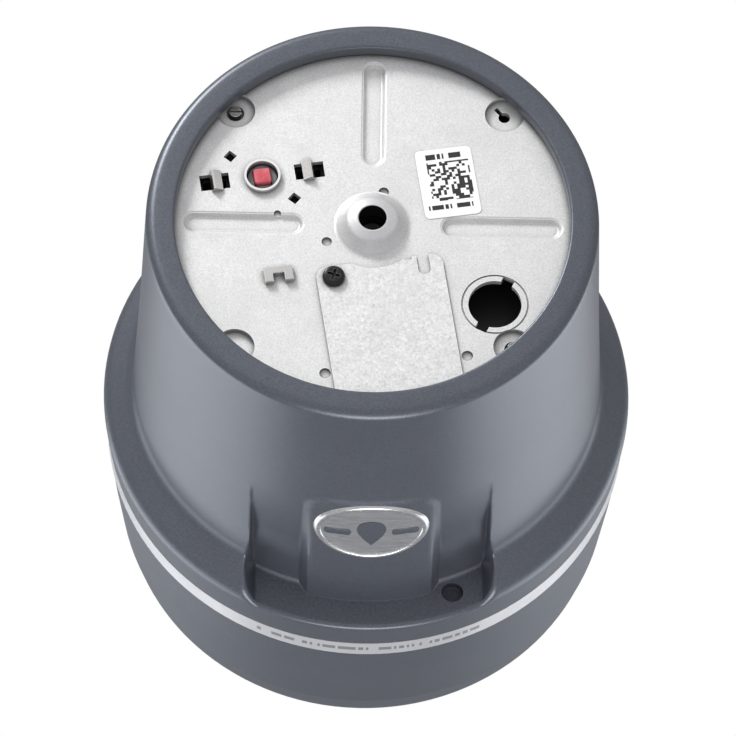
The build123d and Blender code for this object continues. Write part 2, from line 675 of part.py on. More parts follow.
def shaft_nut():
    base = DISC_Z + DISC_THICKNESS
    nut = hexagon(19.0, base, base + 9) - disc(5.0, base - 1, base + 10)
    return nut + (ring(SHAFT_R, 13, base, base + 1.6))


def grind_lug(half):
    """A heavy stepped lug that swivels on its rivet pin."""
    low = DISC_Z + DISC_THICKNESS + GAP
    lug = Pos(7, 0, low) * extrude(SlotCenterToCenter(16, 17), 6.0)
    lug += Pos(14, 0, low) * extrude(Rectangle(15, 13), 15.0)
    lug -= disc(LUG_PIN_R + 0.05, low - 1, low + 20)
    x, y = lug_spot(half)
    return Pos(x, y, 0) * (Rot(0, 0, 20 + 180 * half) * lug)


def lug_pins():
    low = DISC_Z - 1.6
    top = DISC_Z + DISC_THICKNESS + GAP + 6.0 + GAP
    pin = disc(LUG_PIN_R, DISC_Z, top) + disc(LUG_PIN_R + 2.2, low, DISC_Z)
    pin += disc(LUG_PIN_R + 1.8, top, top + 2.0)
    return Compound([Pos(*lug_spot(half), 0) * pin for half in (0, 1)])


# ---------------------------------------------------------------- sound insulation
def motor_insulation():
    return ring(CAN_OUTER_R + 0.5, 90.8, 24, 118)


def chamber_insulation():
    """Foam jacket between the container and the upper shell."""
    outer = [(NECK_R + 0.5, 184), (104, 184), (104, 225), (98, 252), (84, UPPER_TOP_Z - WALL - 0.1),
             (NECK_R + 0.5, UPPER_TOP_Z - WALL - 0.1)]
    jacket = rounded(outer, [0, 0, 60, 12, 20, 0])
    jacket -= container_outside(0)
    jacket -= ring(0.01, FLANGE_R + 1, 180, 188)
    return jacket - inlet_tube(INLET_R + 1.5, 78, 120)


# ---------------------------------------------------------------- sink mount
def sink_flange():
    """Polished flange: rounded rim, funnel mouth and sleeve with a snap ring groove."""
    top = TOTAL_HEIGHT
    points = [(SLEEVE_R, 270), (SLEEVE_R, SINK_RIM_Z - 3), (SINK_RIM_R, SINK_RIM_Z),
              (SINK_RIM_R - 1.5, SINK_RIM_Z + 2), (50, top), (SLEEVE_BORE_R, 296), (SLEEVE_BORE_R, 270)]
    flange = rounded(points, [0, 0, 0, 0, 3.0, 0, 0])
    return flange - ring(SLEEVE_R - 0.8, SLEEVE_R + 3, 276.9, 279.1)


def snap_ring():
    gap = Pos(0, -SLEEVE_R, 278) * Box(5, 12, 10)
    return ring(SLEEVE_R - 0.8, SLEEVE_R + 2.2, 277, 279) - gap


def mounting_gasket():
    gasket = ring(SLEEVE_R, NECK_LIP_R - 0.6, NECK_LIP_Z + 2, 276.8)
    return gasket + ring(SLEEVE_R, SLEEVE_R + 2.5, 262, NECK_LIP_Z + 2)


def hook_angle(k):
    return HOOK_TURN + 120.0 * k


def lower_mounting_ring():
    """Swivel ring under the neck's lip, with three hooks and three turning handles."""
    low = NECK_LIP_Z - 3.6
    body = ring(NECK_R + GAP, 62, low, NECK_LIP_Z - GAP)
    body += ring(59.0, 62, low, 275.0)
    for k in range(HOOK_COUNT):
        body += sector(59.0, 62, 274, 286.0, hook_angle(k), HOOK_WIDTH_DEG)
        body += sector(54.5, 59.5, 282.4, 286.0, hook_angle(k), HOOK_WIDTH_DEG)
        body += Rot(0, 0, hook_angle(k)) * (Pos(67, 0, (low + 273) / 2) * Box(14, 9, 273 - low))
        body -= Rot(0, 0, hook_angle(k)) * pillar((69, 0), 2.6, low - 1, 275)
    return body


def upper_mounting_ring():
    """Clamped ring with three flange sectors for the hooks and three ears for the screws."""
    body = ring(SLEEVE_R + 0.3, 53.5, 279, 282)
    for k in range(HOOK_COUNT):
        body += sector(52, 58, 279, 282, hook_angle(k), 38)
        ear = Pos(60, 0, 279) * extrude(SlotCenterToCenter(15, 16), 3)
        ear += pillar((MOUNT_SCREW_R, 0), 5.5, 282, 285)
        body += Rot(0, 0, 120 * k) * ear
        body -= Rot(0, 0, 120 * k) * pillar((MOUNT_SCREW_R, 0), 3.0, 278, 286)
    return body


def mounting_screws():
    screw = rounded([(0, 275), (4.6, 275), (4.6, 278.8), (0, 278.8)], [0, 0.8, 0.3, 0])
    screw += disc(3.0, 278.8, 290)
    screw -= block((0, 0), (12, 1.4), 274, 276.4)
    turns = [Rot(0, 0, 120 * k) for k in range(HOOK_COUNT)]
    return Compound([turn * (Pos(MOUNT_SCREW_R, 0, 0) * screw) for turn in turns])


def backup_flange():
    flange = rounded([(SLEEVE_R + 0.3, 290), (73, 290), (73, 292), (SLEEVE_R + 0.3, 292)], [0, 0.6, 0.6, 0])
    return flange + ring(71, 73, 287.5, 291)


def fiber_gasket():
    return ring(SLEEVE_R + 0.3, 60, 292, 293.6)


def splash_baffle():
    """Rubber guard that lifts out: a collar, a dished diaphragm and four slits."""
    collar = polygon((39.4, 283), (SLEEVE_BORE_R - GAP, 283), (SLEEVE_BORE_R - GAP, 297), (39.4, 297))
    diaphragm = rounded([(9, 281), (39.6, 284), (39.6, 286), (9, 283)], [0.3, 0, 0, 0.3])
    baffle = collar + diaphragm
    for k in range(6):
        baffle -= Rot(0, 0, 30 + 60 * k) * (Pos(20, 0, 284) * Box(26, 0.9, 12))
    return baffle


# ---------------------------------------------------------------- write the parts
def main():
    os.makedirs("parts", exist_ok=True)
    pieces = {
        "lower_trim_shell": lower_shell_with_badge_seat,
        "upper_trim_shell": upper_trim_shell,
        "trim_band": trim_band,
        "badge": badge,
        "lower_end_frame": lower_end_frame,
        "terminal_cover": terminal_cover,
        "terminal_cover_screw": terminal_cover_screw,
        "wire_clip": wire_clip,
        "rating_label": rating_label,
        "through_bolts": through_bolts,
        "reset_button": reset_button,
        "button_guide": button_guide,
        "button_spring": button_spring,
        "overload_protector": overload_protector,
        "protector_bracket": protector_bracket,
        "wiring_box": wiring_box,
        "ground_screw": ground_screw,
        "lead_wires": lead_wires,
        "start_relay": start_relay,
        "motor_shell": motor_shell,
        "stator_core": stator_core,
        "stator_windings": stator_windings,
        "rotor_core": rotor_core,
        "rotor_cage": rotor_cage,
        "motor_shaft": motor_shaft,
        "shaft_seal": shaft_seal,
        "slinger": slinger,
        "upper_end_bell": upper_end_bell,
        "drain_chamber": drain_chamber,
        "body_gasket": body_gasket,
        "body_screws": body_screws,
        "grind_container": grind_container,
        "inlet_plug": inlet_plug,
        "grind_ring": grind_ring,
        "shredder_plate": shredder_plate,
        "shaft_nut": shaft_nut,
        "lug_pins": lug_pins,
        "motor_insulation": motor_insulation,
        "chamber_insulation": chamber_insulation,
        "sink_flange": sink_flange,
        "snap_ring": snap_ring,
        "mounting_gasket": mounting_gasket,
        "lower_mounting_ring": lower_mounting_ring,
        "upper_mounting_ring": upper_mounting_ring,
        "mounting_screws": mounting_screws,
        "backup_flange": backup_flange,
        "fiber_gasket": fiber_gasket,
        "splash_baffle": splash_baffle,
    }
    for name, make in pieces.items():
        write(name, make())
    write("lower_bearing", bearing(10.2, 24.0))
    write("upper_bearing", bearing(97.0, 112.0))
    write("grind_lug_a", grind_lug(0))
    write("grind_lug_b", grind_lug(1))


main()
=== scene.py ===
import json
from math import asin, cos, pi, radians, sin, tan

import bmesh
import bpy
import numpy as np
from mathutils import Matrix, Vector


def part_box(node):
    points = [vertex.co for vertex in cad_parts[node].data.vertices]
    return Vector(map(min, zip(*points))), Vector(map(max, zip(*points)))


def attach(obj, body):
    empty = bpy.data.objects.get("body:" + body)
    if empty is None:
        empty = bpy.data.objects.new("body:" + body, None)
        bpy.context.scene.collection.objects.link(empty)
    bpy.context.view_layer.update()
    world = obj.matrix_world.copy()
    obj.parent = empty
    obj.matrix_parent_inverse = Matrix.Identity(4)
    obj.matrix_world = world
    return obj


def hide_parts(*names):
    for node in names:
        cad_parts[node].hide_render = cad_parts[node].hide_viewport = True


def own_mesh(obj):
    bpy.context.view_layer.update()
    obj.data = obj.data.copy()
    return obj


# Looks of the garbage disposal. Metres, in the part's own frame: +Z up, badge towards -Y.

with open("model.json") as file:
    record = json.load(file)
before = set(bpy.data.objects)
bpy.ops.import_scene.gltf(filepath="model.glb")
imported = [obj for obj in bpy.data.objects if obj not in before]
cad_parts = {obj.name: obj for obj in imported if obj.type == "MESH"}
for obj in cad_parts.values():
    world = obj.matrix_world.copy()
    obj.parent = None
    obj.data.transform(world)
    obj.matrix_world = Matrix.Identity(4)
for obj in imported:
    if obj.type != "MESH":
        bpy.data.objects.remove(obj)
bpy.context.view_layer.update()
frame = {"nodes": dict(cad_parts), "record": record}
MM = 0.001

# Places that the patterns and the shapes share.
HUB_R = 0.0154                   # of the plate's hub, metres
HUB_HOLE_R = 0.0058              # of the hole through it, metres
LEDGE_Z = 155.0                  # underside of the front pocket's ledge, millimetres


# ---------------------------------------------------------------- camera, light and floor
VIEW_TURN = radians(2.5)         # the camera stands a little towards +X from the front
VIEW_RISE = radians(-61.293)     # and looks up from below
VIEW_ROLL = radians(182.082)     # with the sink end at the bottom of the picture
VIEW_DISTANCE = 3.0509
VIEW_TARGET = (-0.00036, 0.0, 0.13112)
LENS_MM = 344.97


def make_camera():
    data = bpy.data.cameras.new("camera")
    data.lens = LENS_MM
    data.sensor_width = 36.0
    camera = bpy.data.objects.new("camera", data)
    bpy.context.scene.collection.objects.link(camera)
    level = cos(VIEW_RISE)
    back = Vector((sin(VIEW_TURN) * level, -cos(VIEW_TURN) * level, sin(VIEW_RISE)))
    right = (-back).cross(Vector((0, 0, 1))).normalized()
    up = right.cross(-back)
    turned_right = cos(VIEW_ROLL) * right + sin(VIEW_ROLL) * up
    turned_up = cos(VIEW_ROLL) * up - sin(VIEW_ROLL) * right
    target = Matrix.Rotation(VIEW_TURN, 3, "Z") @ Vector(VIEW_TARGET)
    matrix = Matrix((turned_right, turned_up, back)).transposed().to_4x4()
    matrix.translation = target + VIEW_DISTANCE * back
    camera.matrix_world = matrix
    bpy.context.scene.camera = camera


def softbox(name, place, aim, size, power, colour=(1, 1, 1)):
    data = bpy.data.lights.new(name, "AREA")
    data.shape = "RECTANGLE"
    data.size, data.size_y = size
    data.energy = power
    data.color = colour
    light = bpy.data.objects.new(name, data)
    bpy.context.scene.collection.objects.link(light)
    light.location = place
    light.rotation_euler = (Vector(aim) - Vector(place)).to_track_quat("-Z", "Y").to_euler()
    light.visible_camera = False


def make_lights():
    middle = (0, 0, 0.13)
    cool = (0.93, 0.96, 1.0)
    softbox("box_left", (-1.00, -0.22, 1.0), middle, (1.4, 0.8), 7.5, cool)
    softbox("box_right", (1.00, -0.22, 1.0), middle, (1.4, 0.8), 8.0, cool)
    softbox("box_below", (0.70, 1.15, -0.75), (0, 0, 0.0), (0.4, 0.4), 20.0)
    softbox("box_front", (0.0, -1.5, 0.10), middle, (0.8, 0.5), 13.0)


def make_world():
    """White to the camera, and a softer grey room for everything that the object reflects."""
    world = bpy.data.worlds.new("studio")
    bpy.context.scene.world = world
    world.use_nodes = True
    nodes, links = world.node_tree.nodes, world.node_tree.links
    nodes.clear()
    path = nodes.new("ShaderNodeLightPath")
    seen = nodes.new("ShaderNodeBackground")
    seen.inputs["Color"].default_value = (1, 1, 1, 1)
    room = nodes.new("ShaderNodeBackground")
    place = nodes.new("ShaderNodeTexCoord")
    split = nodes.new("ShaderNodeSeparateXYZ")
    height = nodes.new("ShaderNodeMapRange")
    height.inputs["From Min"].default_value = -1.0
    height.inputs["From Max"].default_value = 1.0
    ramp = nodes.new("ShaderNodeValToRGB")
    ramp.color_ramp.elements[0].position = 0.3
    ramp.color_ramp.elements[0].color = (0.77, 0.77, 0.785, 1)
    ramp.color_ramp.elements[1].position = 0.7
    ramp.color_ramp.elements[1].color = (0.33, 0.34, 0.36, 1)
    mix = nodes.new("ShaderNodeMixShader")
    out = nodes.new("ShaderNodeOutputWorld")
    links.new(place.outputs["Generated"], split.inputs[0])
    links.new(split.outputs["Z"], height.inputs["Value"])
    links.new(height.outputs["Result"], ramp.inputs["Fac"])
    links.new(ramp.outputs["Color"], room.inputs["Color"])
    links.new(path.outputs["Is Camera Ray"], mix.inputs["Fac"])
    links.new(room.outputs[0], mix.inputs[1])
    links.new(seen.outputs[0], mix.inputs[2])
    links.new(mix.outputs[0], out.inputs["Surface"])


def make_floor():
    """A pale floor that only shows from above, so that the unit can also be seen from below."""
    half = 6.0
    mesh = bpy.data.meshes.new("floor")
    corners = [(-half, -half, 0), (half, -half, 0), (half, half, 0), (-half, half, 0)]
    mesh.from_pydata(corners, [], [(0, 1, 2, 3)])
    floor = bpy.data.objects.new("floor", mesh)
    bpy.context.scene.collection.objects.link(floor)
    material = bpy.data.materials.new("floor_paint")
    material.use_nodes = True
    nodes, links = material.node_tree.nodes, material.node_tree.links
    shader = nodes["Principled BSDF"]
    shader.inputs["Base Color"].default_value = (0.86, 0.86, 0.86, 1)
    shader.inputs["Roughness"].default_value = 0.7
    clear = nodes.new("ShaderNodeBsdfTransparent")
    geometry = nodes.new("ShaderNodeNewGeometry")
    mix = nodes.new("ShaderNodeMixShader")
    links.new(geometry.outputs["Backfacing"], mix.inputs["Fac"])
    links.new(shader.outputs[0], mix.inputs[1])
    links.new(clear.outputs[0], mix.inputs[2])
    links.new(mix.outputs[0], nodes["Material Output"].inputs["Surface"])
    mesh.materials.append(material)
    for ray in ("diffuse", "glossy", "transmission", "shadow"):
        setattr(floor, f"visible_{ray}", False)


# ---------------------------------------------------------------- building a material
class Finish:
    """A material being built: its nodes, its shader and patterns in the object's own space."""

    def __init__(self, name):
        self.material = bpy.data.materials.new(name)
        self.material.use_nodes = True
        self.tree = self.material.node_tree
        self.shader = self.tree.nodes["Principled BSDF"]
        self.place = self.add("ShaderNodeTexCoord").outputs["Object"]

    def add(self, kind, links=(), **values):
        """A new node, with its settings, and its sockets linked or set."""
        node = self.tree.nodes.new(kind)
        for key, value in values.items():
            setattr(node, key, value)
        for socket, source in dict(links).items():
            if hasattr(source, "is_output"):
                self.tree.links.new(source, node.inputs[socket])
            else:
                node.inputs[socket].default_value = source
        return node

    def set(self, **values):
        """Sets the shader's sockets; an underscore stands for a space."""
        for key, value in values.items():
            socket = self.shader.inputs[key.replace("_", " ")]
            if hasattr(value, "is_output"):
                self.tree.links.new(value, socket)
            else:
                socket.default_value = (*value, 1.0) if isinstance(value, tuple) else value

    def stretched(self, stretch):
        return self.add("ShaderNodeMapping", {"Vector": self.place, "Scale": stretch}).outputs[0]

    def noise(self, size, detail=3.0, rough=0.5, stretch=None, seed=0.0):
        """A soft random pattern with features of about that size."""
        place = self.stretched(stretch) if stretch else self.place
        links = {"Vector": place, "W": seed, "Scale": 1.0 / size, "Detail": detail, "Roughness": rough}
        return self.add("ShaderNodeTexNoise", links, noise_dimensions="4D").outputs[0]

    def cells(self, size):
        """A random value for each small grain."""
        node = self.add("ShaderNodeTexVoronoi", {"Vector": self.place, "Scale": 1.0 / size})
        return self.add("ShaderNodeSeparateColor", {0: node.outputs["Color"]}).outputs[0]

    def spread(self, value, low, high, start=0.3, end=0.7):
        """Low where the value is at start or under, high where it is at end or over."""
        links = {"Value": value, "From Min": start, "From Max": end, "To Min": low, "To Max": high}
        return self.add("ShaderNodeMapRange", links).outputs[0]

    def maths(self, operation, a, b):
        return self.add("ShaderNodeMath", {0: a, 1: b}, operation=operation).outputs[0]

    def vector(self, operation, a, b=(0, 0, 0)):
        return self.add("ShaderNodeVectorMath", {0: a, 1: b}, operation=operation)

    def blend(self, amount, first, second):
        """Mixes two colours: the first where amount is 0, the second where it is 1."""
        node = self.add("ShaderNodeMix", {"Factor": amount}, data_type="RGBA")
        for socket, colour in ((node.inputs[6], first), (node.inputs[7], second)):
            if hasattr(colour, "is_output"):
                self.tree.links.new(colour, socket)
            else:
                socket.default_value = (*colour, 1.0)
        return node.outputs[2]

    def bump(self, height, depth, under=None):
        links = {"Height": height, "Distance": depth, "Strength": 1.0}
        if under is not None:
            links["Normal"] = under
        return self.add("ShaderNodeBump", links).outputs[0]

    def edges(self, radius):
        """0 on open faces, rising to 1 along edges."""
        soft = self.add("ShaderNodeBevel", {"Radius": radius}, samples=4).outputs[0]
        hard = self.add("ShaderNodeNewGeometry").outputs["Normal"]
        match = self.vector("DOT_PRODUCT", soft, hard).outputs["Value"]
        return self.spread(match, 0.0, 1.0, start=0.99, end=0.80)

    def from_axis(self):
        """Distance from the vertical axis."""
        flat = self.vector("MULTIPLY", self.place, (1, 1, 0)).outputs[0]
        return self.vector("LENGTH", flat).outputs["Value"]

    def inside(self, value, middle, half):
        """1 where the value is within half of the middle."""
        offset = self.maths("SUBTRACT", value, middle)
        return self.maths("LESS_THAN", self.maths("ABSOLUTE", offset, 0.0), half)

    def crevices(self, reach):
        """0 on open faces, rising to 1 in corners and beside steps."""
        shade = self.add("ShaderNodeAmbientOcclusion", {"Distance": reach}, samples=6).outputs["AO"]
        return self.spread(shade, 0.0, 1.0, start=0.95, end=0.35)


def metal(name, light, dark, roughness, grain, stretch=None, worn=None, metallic=1.0):
    """Bare or plated metal: blotches, grain, uneven polish and lighter worn edges."""
    f = Finish(name)
    blotch = f.noise(0.018, detail=4.0)
    grains = f.noise(grain, detail=2.0, stretch=stretch)
    colour = f.blend(f.spread(blotch, 0.0, 1.0), light, dark)
    colour = f.blend(f.spread(grains, 0.0, 0.3), colour, dark)
    if worn:
        colour = f.blend(f.edges(0.0006), colour, worn)
    f.set(Base_Color=colour, Metallic=metallic)
    f.set(Roughness=f.spread(f.maths("ADD", blotch, grains), roughness * 0.82, roughness * 1.2, 0.7, 1.3))
    f.set(Normal=f.bump(grains, 0.00004))
    return f


# ---------------------------------------------------------------- materials, by slot
LEDGE_OUTER_R = 0.1125           # the grainy finish and its painted lighter tone stop here, short of the shoulder


def ledge_mask(f):
    """1 on the ledge of the front pocket, 0 elsewhere."""
    parts = f.add("ShaderNodeSeparateXYZ", {0: f.place})
    level = f.inside(parts.outputs[2], LEDGE_Z * MM, 0.0008)
    front = f.maths("LESS_THAN", parts.outputs[1], 0.0)
    within = f.maths("LESS_THAN", f.from_axis(), LEDGE_OUTER_R)
    return f.maths("MULTIPLY", f.maths("MULTIPLY", level, front), within)


def metallic_paint():
    """Dark blue-grey metallic enamel with fine flakes and a satin clear coat, and a grainy ledge: real
    moulded grain, with a lighter tone that is painted light.
    """
    f = Finish("metallic_paint")
    flakes = f.cells(0.00035)
    cloud = f.noise(0.05, detail=2.0)
    peel = f.noise(0.0022, detail=1.0)
    colour = f.blend(f.spread(flakes, 0.0, 1.0, 0.1, 1.0), (0.074, 0.082, 0.100), (0.112, 0.123, 0.147))
    colour = f.blend(f.spread(cloud, 0.0, 0.25), colour, (0.066, 0.073, 0.090))
    ledge = ledge_mask(f)
    grit = f.noise(0.0011, detail=2.0)
    # Painted light: the ledge's colour is lifted lighter than the rest of the shell, speckled by its real
    # grit texture.
    colour = f.blend(f.maths("MULTIPLY", ledge, f.spread(grit, 0.35, 1.0)), colour, (0.150, 0.162, 0.188))
    f.set(Base_Color=colour, Metallic=0.55, Coat_Weight=0.30, Coat_Roughness=0.34)
    satin = f.spread(flakes, 0.36, 0.46, 0.0, 1.0)
    f.set(Roughness=f.maths("ADD", satin, f.maths("MULTIPLY", ledge, 0.12)))
    fine = f.bump(flakes, 0.000008, f.bump(peel, 0.00003))
    f.set(Normal=f.bump(f.maths("MULTIPLY", ledge, grit), 0.00012, fine))
    return f


def zinc(name, light, dark, grain, seed):
    """Zinc-plated sheet: frosted grain, handling marks and stains, painted shade in its crevices, painted
    shade over the hub, and its hole painted near black for the shade inside.
    """
    f = Finish(name)
    frost = f.noise(grain, detail=3.0, rough=0.7, seed=seed)
    cloud = f.noise(0.016, detail=4.0, seed=seed)
    scuff = f.noise(0.006, detail=3.0, stretch=(0.25, 2.0, 1.0), seed=seed + 3.0)
    colour = f.blend(f.spread(frost, 0.0, 1.0, 0.32, 0.68), dark, light)
    colour = f.blend(f.spread(cloud, 0.0, 0.28), colour, (0.40, 0.40, 0.40))
    colour = f.blend(f.spread(scuff, 0.0, 0.30, 0.60, 0.75), colour, (0.80, 0.80, 0.80))
    colour = f.blend(f.edges(0.0006), colour, (0.86, 0.86, 0.86))
    # Painted shade: darkens the sheet in corners, recesses and beside steps, where shade falls.
    colour = f.blend(f.maths("MULTIPLY", f.crevices(0.0030), 0.9), colour, (0.08, 0.08, 0.08))
    from_axis = f.from_axis()
    # Painted shade: the sheet is darkened over the hub, towards the axis.
    hub_shade = f.spread(from_axis, 0.42, 0.0, HUB_R - 0.004, HUB_R + 0.001)
    colour = f.blend(hub_shade, colour, (0.36, 0.36, 0.37))
    # Painted shade: the hole through the hub is painted near black for the shade inside it.
    hole = f.spread(from_axis, 1.0, 0.0, HUB_HOLE_R, HUB_HOLE_R + 0.0003)
    colour = f.blend(hole, colour, (0.012, 0.012, 0.012))
    f.set(Base_Color=colour, Metallic=0.55)
    f.set(Roughness=f.spread(f.maths("ADD", cloud, frost), 0.42, 0.58, 0.7, 1.3))
    f.set(Normal=f.bump(frost, grain / 14))
    return f


SERVICE_TURN = radians(-7.8)     # the label and the cover are turned by this on the plate
LABEL_CENTRE = (-0.0344, 0.0160)
CODE_CELL = 0.00118
CODE_BLOCK = ((-0.0012, 0.0089), (0.0008, 0.0094))       # (middle, half) across and along the label
UPPER_BARS = ((0.0002, 0.0074), (0.0128, 0.0013))
LOWER_BARS = ((0.0004, 0.0094), (-0.0116, 0.0011))
LABEL_BAR_PITCH = 0.0007


def dashes(f, place, pitch, gaps):
    """A row of stripes along one direction, with a share of them left out."""
    column = f.maths("FLOOR", f.maths("MULTIPLY", place, 1 / pitch), 0.0)
    value = f.add("ShaderNodeTexWhiteNoise", {"W": column}, noise_dimensions="1D").outputs["Value"]
    return f.maths("GREATER_THAN", value, gaps)


def label():
    """White sticker with a meaningless block pattern and two rows of plain bars."""
    f = Finish("label")
    turned = f.add("ShaderNodeMapping", {"Vector": f.place, "Rotation": (0, 0, -SERVICE_TURN),
                                         "Location": (-LABEL_CENTRE[0], -LABEL_CENTRE[1], 0)}).outputs[0]
    parts = f.add("ShaderNodeSeparateXYZ", {0: turned})
    across, along = parts.outputs[0], parts.outputs[1]

    def area(across_range, along_range):
        return f.maths("MULTIPLY", f.inside(across, *across_range), f.inside(along, *along_range))

    square = f.vector("FLOOR", f.vector("MULTIPLY", turned, (1 / CODE_CELL,) * 3).outputs[0]).outputs[0]
    chance = f.add("ShaderNodeTexWhiteNoise", {"Vector": square}).outputs["Value"]
    code = f.maths("MULTIPLY", area(*CODE_BLOCK), f.maths("GREATER_THAN", chance, 0.44))
    rows = f.maths("MAXIMUM", area(*UPPER_BARS), area(*LOWER_BARS))
    ink = f.maths("MAXIMUM", code, f.maths("MULTIPLY", rows, dashes(f, across, LABEL_BAR_PITCH, 0.25)))
    fibre = f.noise(0.0004, detail=3.0)
    paper = f.blend(f.spread(fibre, 0.0, 1.0), (0.93, 0.93, 0.93), (0.84, 0.84, 0.84))
    f.set(Base_Color=f.blend(ink, paper, (0.010, 0.010, 0.010)))
    f.set(Roughness=f.spread(fibre, 0.45, 0.6))
    f.set(Normal=f.bump(fibre, 0.00001))
    return f


BAND_MIDDLE_Z = 0.1767
BAND_BAR_HALF_HEIGHT = 0.0013
BAND_BARS_REACH = 0.048          # how far the printed bars go to each side
BAND_BAR_PITCH = 0.0011


def band():
    """Satin aluminium foil band with a row of plain printed bars at the front."""
    f = Finish("band")
    parts = f.add("ShaderNodeSeparateXYZ", {0: f.place})
    across, depth, height = parts.outputs
    row = f.inside(height, BAND_MIDDLE_Z, BAND_BAR_HALF_HEIGHT)
    row = f.maths("MULTIPLY", row, f.inside(across, 0.0, BAND_BARS_REACH))
    row = f.maths("MULTIPLY", row, dashes(f, across, BAND_BAR_PITCH, 0.35))
    ink = f.maths("MULTIPLY", row, f.maths("LESS_THAN", depth, 0.0))
    grain = f.noise(0.0005, detail=2.0, stretch=(1.0, 1.0, 0.1))
    cloud = f.noise(0.02, detail=2.0)
    colour = f.blend(f.spread(cloud, 0.0, 1.0), (0.67, 0.67, 0.67), (0.58, 0.58, 0.59))
    colour = f.blend(f.spread(grain, 0.0, 0.25), colour, (0.50, 0.50, 0.51))
    f.set(Base_Color=f.blend(f.maths("MULTIPLY", ink, 0.8), colour, (0.20, 0.20, 0.21)), Metallic=0.6)
    f.set(Roughness=f.spread(grain, 0.32, 0.44))
    f.set(Normal=f.bump(grain, 0.00001))
    return f


def badge_metal():
    """Badge: bright nickel, brushed sideways."""
    f = Finish("badge_metal")
    brush = f.noise(0.0008, detail=4.0, rough=0.7, stretch=(0.03, 1.0, 1.0))
    cloud = f.noise(0.01, detail=2.0)
    colour = f.blend(f.spread(brush, 0.0, 1.0), (0.46, 0.46, 0.47), (0.66, 0.66, 0.66))
    colour = f.blend(f.spread(cloud, 0.0, 0.2), colour, (0.40, 0.40, 0.41))
    f.set(Base_Color=colour, Metallic=0.9)
    f.set(Roughness=f.spread(brush, 0.22, 0.36))
    f.set(Normal=f.bump(brush, 0.00002))
    return f


def button_red():
    """Translucent-looking red moulding, paler where it is rubbed."""
    f = Finish("button_red")
    cloud = f.noise(0.003, detail=3.0)
    colour = f.blend(f.spread(cloud, 0.0, 1.0), (0.52, 0.055, 0.075), (0.64, 0.14, 0.17))
    colour = f.blend(f.edges(0.0005), colour, (0.75, 0.33, 0.36))
    f.set(Base_Color=colour, Subsurface_Weight=0.15, Subsurface_Scale=0.001)
    f.set(Roughness=f.spread(cloud, 0.30, 0.42))
    f.set(Normal=f.bump(f.noise(0.0006), 0.00002))
    return f


def moulded(name, light, dark, roughness, grain=0.0007, depth=0.00003, crevice_shade=0.0):
    """Moulded plastic, rubber or fibre with a fine texture, and painted shade in its corners if asked for.
    """
    f = Finish(name)
    texture = f.noise(grain, detail=3.0)
    cloud = f.noise(0.015, detail=3.0)
    colour = f.blend(f.spread(cloud, 0.0, 1.0), light, dark)
    colour = f.blend(f.spread(texture, 0.0, 0.35), colour, dark)
    if crevice_shade:
        # Painted shade: darkens corners and recesses, where shade falls.
        colour = f.blend(f.maths("MULTIPLY", f.crevices(0.0030), crevice_shade), colour, (0.012, 0.012, 0.012))
    f.set(Base_Color=colour)
    f.set(Roughness=f.spread(texture, roughness * 0.85, min(1.0, roughness * 1.15)))
    f.set(Normal=f.bump(texture, depth))
    return f


